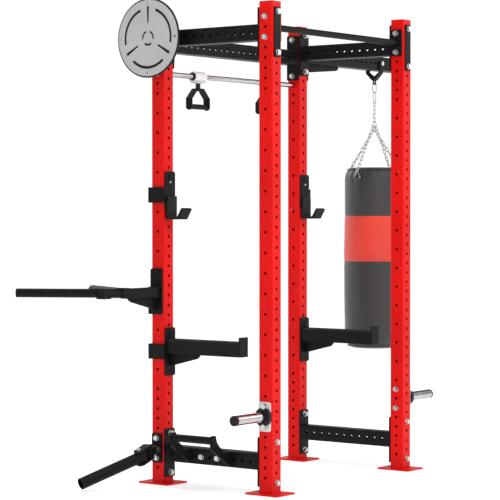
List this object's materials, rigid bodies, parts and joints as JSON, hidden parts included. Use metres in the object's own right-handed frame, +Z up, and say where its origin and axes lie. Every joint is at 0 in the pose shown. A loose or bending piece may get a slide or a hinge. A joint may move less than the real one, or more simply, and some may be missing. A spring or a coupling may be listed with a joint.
{
  "type": "power cage",
  "caption": "Power cage with perforated uprights, J-cups, spotter arms, dip handles, landmine socket, pull-up bar, sliding D-handles, target disc and a hanging heavy bag.",
  "frame": {"origin": "on the floor under the middle of the whole part's box", "axes": "+X to the right across the cage, +Y from the open front to the back, +Z up"},
  "size_m": [2.9028, 1.1762, 2.458],
  "materials": {
    "red_powder_coat": "gloss powder coat",
    "black_powder_coat": "fine textured powder coat",
    "zinc_fasteners": "bright zinc plate",
    "chrome": "polished",
    "white_coat": "satin white coat",
    "black_plastic": "matt moulded",
    "black_rubber": "matt grip rubber",
    "grey_board": "satin board",
    "black_leather": "grained",
    "red_leather": "grained",
    "textile_fill": "packed rag"
  },
  "bodies": {
    "cage": {"upright_front_left": "red_powder_coat", "upright_front_right": "red_powder_coat", "upright_rear_left": "red_powder_coat", "upright_rear_right": "red_powder_coat", "foot_plates": "red_powder_coat", "upright_caps": "black_plastic", "top_rail_left": "black_powder_coat", "top_rail_right": "black_powder_coat", "top_rail_rear": "black_powder_coat", "bottom_rail_left": "black_powder_coat", "bottom_rail_right": "black_powder_coat", "rail_end_plates": "black_powder_coat", "clamp_plates": "black_powder_coat", "rail_bolts": "zinc_fasteners", "accessory_bolts": "zinc_fasteners", "pull_up_bar": "black_powder_coat", "pull_up_bar_plates": "black_powder_coat", "slide_bar": "chrome", "horn_plates": "white_coat", "horn_tubes": "chrome", "horn_collars": "black_plastic", "horn_caps": "black_plastic", "foot_bar": "black_powder_coat", "foot_bar_fins": "black_powder_coat", "target_face": "grey_board", "target_backing": "black_plastic", "target_bracket": "black_powder_coat", "bag_beam": "black_powder_coat", "bag_beam_mount": "black_powder_coat", "landmine_base": "black_powder_coat"},
    "landmine_tilt": {"landmine_yoke": "black_powder_coat", "landmine_turning_pin": "zinc_fasteners"},
    "landmine_socket": {"landmine_sleeve": "black_powder_coat"},
    "bush_left": {"slider_bush_left": "black_plastic"},
    "bush_right": {"slider_bush_right": "black_plastic"},
    "slider_left": {"slider_left": "white_coat"},
    "slider_right": {"slider_right": "white_coat"},
    "handle_left": {"handle_frame_left": "black_powder_coat"},
    "handle_right": {"handle_frame_right": "black_powder_coat"},
    "grip_left": {"handle_grip_left": "black_rubber"},
    "grip_right": {"handle_grip_right": "black_rubber"},
    "yoke": {"bag_yoke": "black_powder_coat"},
    "hooks": {"snap_hook_upper": "zinc_fasteners", "snap_hook_lower": "zinc_fasteners"},
    "bag": {"bag_chains": "zinc_fasteners", "bag_rings": "zinc_fasteners", "bag_cover": "black_leather", "bag_band": "red_leather", "bag_filling": "textile_fill"},
    "dip_station": {"dip_bracket": "black_powder_coat", "dip_arm": "black_powder_coat", "dip_handles": "black_powder_coat"},
    "cup_left": {"jcup_left": "black_powder_coat", "jcup_liner_left": "black_rubber"},
    "cup_right": {"jcup_right": "black_powder_coat", "jcup_liner_right": "black_rubber"},
    "safety_arm_left": {"spotter_left": "black_powder_coat", "spotter_pad_left": "black_rubber"},
    "safety_arm_right": {"spotter_right": "black_powder_coat", "spotter_pad_right": "black_rubber"}
  },
  "joints": [
    {"name": "slider_left_travel", "type": "slide", "parent": "cage", "child": "bush_left", "axis": [1, 0, 0], "range_m": [-0.16, 0.21]},
    {"name": "slider_left_swing", "type": "hinge", "parent": "bush_left", "child": "slider_left", "pos_m": [-0.47864, 0.18937, 2.083], "axis": [1, 0, 0], "range_deg": [-80, 80]},
    {"name": "handle_left_swivel", "type": "hinge", "parent": "slider_left", "child": "handle_left", "pos_m": [-0.47864, 0.18937, 2.02], "axis": [0, 0, 1], "continuous": true},
    {"name": "grip_left_spin", "type": "hinge", "parent": "handle_left", "child": "grip_left", "pos_m": [-0.47864, 0.18937, 1.928], "axis": [1, 0, 0], "continuous": true},
    {"name": "slider_right_travel", "type": "slide", "parent": "cage", "child": "bush_right", "axis": [1, 0, 0], "range_m": [-0.21, 0.16]},
    {"name": "slider_right_swing", "type": "hinge", "parent": "bush_right", "child": "slider_right", "pos_m": [0.12136, 0.18937, 2.083], "axis": [1, 0, 0], "range_deg": [-80, 80]},
    {"name": "handle_right_swivel", "type": "hinge", "parent": "slider_right", "child": "handle_right", "pos_m": [0.12136, 0.18937, 2.02], "axis": [0, 0, 1], "continuous": true},
    {"name": "grip_right_spin", "type": "hinge", "parent": "handle_right", "child": "grip_right", "pos_m": [0.12136, 0.18937, 1.928], "axis": [1, 0, 0], "continuous": true},
    {"name": "bag_yoke_swing", "type": "hinge", "parent": "cage", "child": "yoke", "pos_m": [1.18735, 0.18937, 2.25], "axis": [0, 1, 0], "range_deg": [-18, 18]},
    {"name": "bag_hook_swing", "type": "hinge", "parent": "yoke", "child": "hooks", "pos_m": [1.18735, 0.18937, 2.1249], "axis": [1, 0, 0], "range_deg": [-18, 18]},
    {"name": "bag_turn", "type": "hinge", "parent": "hooks", "child": "bag", "pos_m": [1.18735, 0.18937, 2.0215], "axis": [0, 0, 1], "range_deg": [-30, 30]},
    {"name": "landmine_tilt", "type": "hinge", "parent": "cage", "child": "landmine_tilt", "pos_m": [-0.85264, 0.18937, 0.18], "axis": [0, 1, 0], "range_deg": [0, 80]},
    {"name": "landmine_turn", "type": "hinge", "parent": "landmine_tilt", "child": "landmine_socket", "pos_m": [-0.9472, 0.18937, 0.14744], "axis": [-0.3256, 0, 0.9455], "range_deg": [-26, 64]},
    {"name": "cup_left_turn", "type": "hinge", "parent": "cage", "child": "cup_left", "pos_m": [-0.76865, 0.18937, 1.558], "axis": [0, 1, 0], "range_deg": [0, 90]},
    {"name": "safety_arm_left_turn", "type": "hinge", "parent": "cage", "child": "safety_arm_left", "pos_m": [-0.76865, 0.18937, 0.758], "axis": [0, 1, 0], "range_deg": [0, 90]},
    {"name": "cup_right_turn", "type": "hinge", "parent": "cage", "child": "cup_right", "pos_m": [0.41136, 0.18937, 1.558], "axis": [0, -1, 0], "range_deg": [0, 90]},
    {"name": "safety_arm_right_turn", "type": "hinge", "parent": "cage", "child": "safety_arm_right", "pos_m": [0.41136, 0.18937, 0.758], "axis": [0, -1, 0], "range_deg": [0, 90]},
    {"name": "dip_station_turn", "type": "hinge", "parent": "cage", "child": "dip_station", "pos_m": [-0.76865, 0.18937, 1.083], "axis": [1, 0, 0], "range_deg": [0, 90]}
  ]
}
